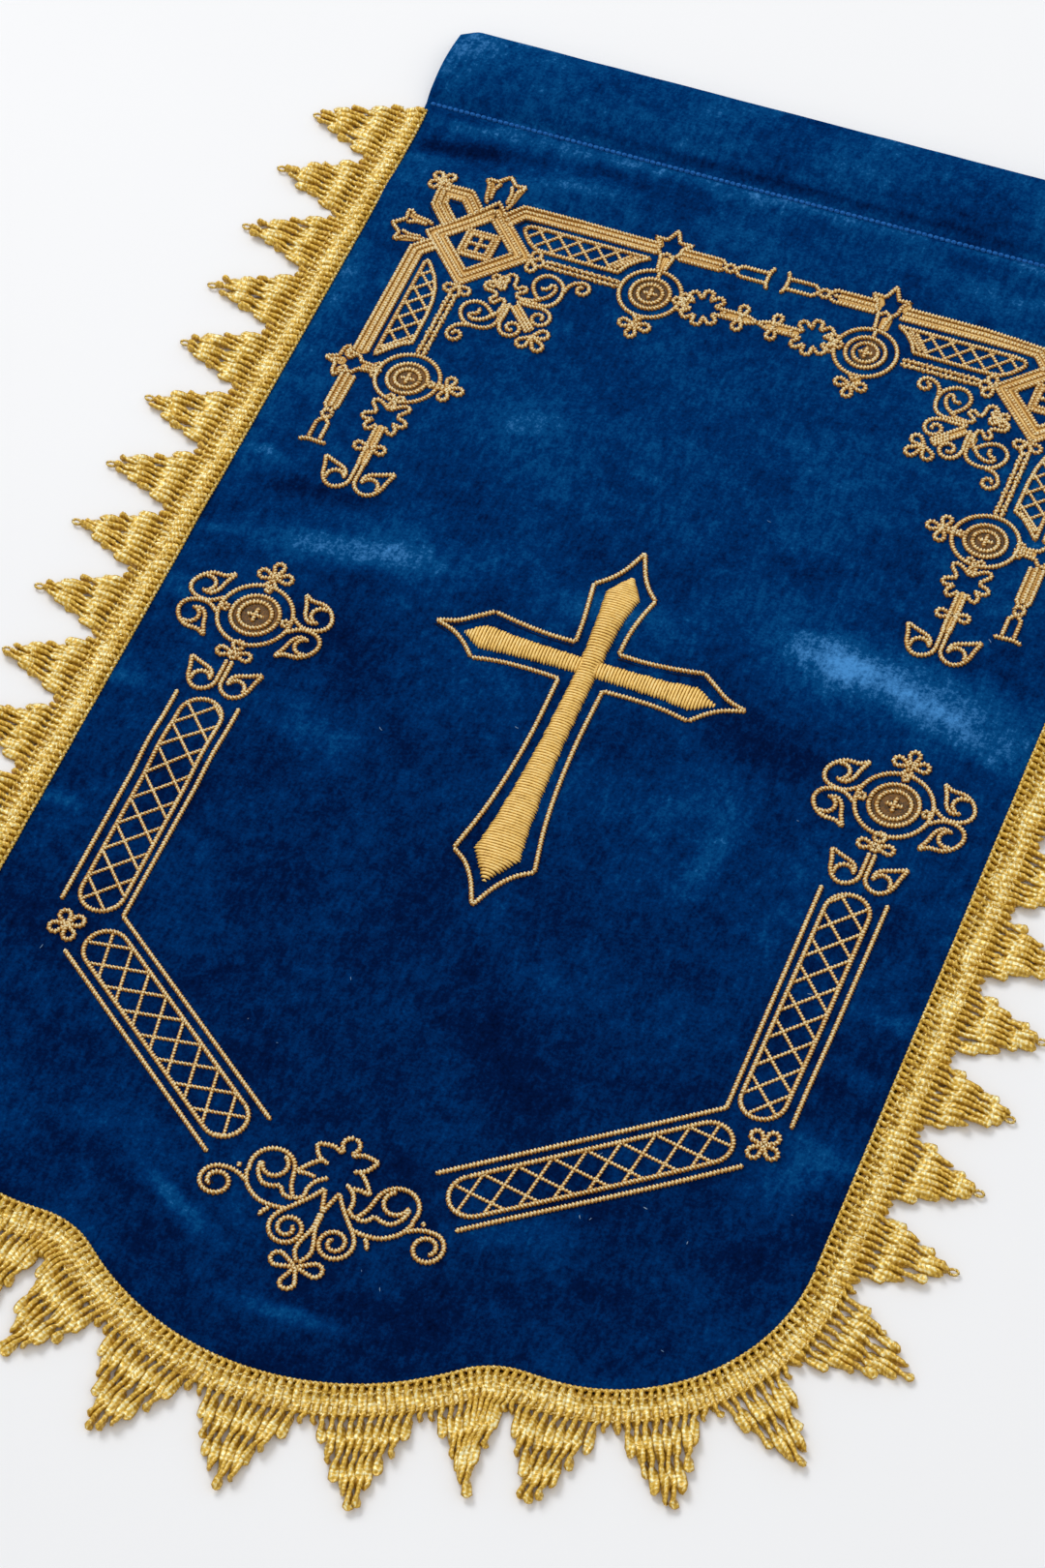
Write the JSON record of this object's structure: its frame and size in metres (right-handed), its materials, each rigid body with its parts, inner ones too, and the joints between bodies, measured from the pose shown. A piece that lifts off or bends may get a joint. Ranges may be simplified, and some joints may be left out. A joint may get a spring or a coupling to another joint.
{
  "type": "church banner",
  "caption": "Small velvet church banner with a rod sleeve, a shaped lower edge and gold bullion fringe, lying flat.",
  "frame": {"origin": "middle of the banner's outline, fringe included, on the surface that it lies on", "axes": "+Y up the banner towards its rod sleeve, +X to its right as seen from its face, +Z out of its face"},
  "size_m": [0.506, 0.7752, 0.0118],
  "materials": {
    "velvet": "deep blue pile velvet with a soft nap",
    "gold_bullion": "metallic gold bullion thread",
    "gold_thread": "pale gold embroidery cord, satin"
  },
  "bodies": {
    "root": {"velvet_field": "velvet", "rod_sleeve": "velvet", "fringe_left": "gold_bullion", "fringe_right": "gold_bullion", "fringe_bottom": "gold_bullion"}
  },
  "joints": []
}
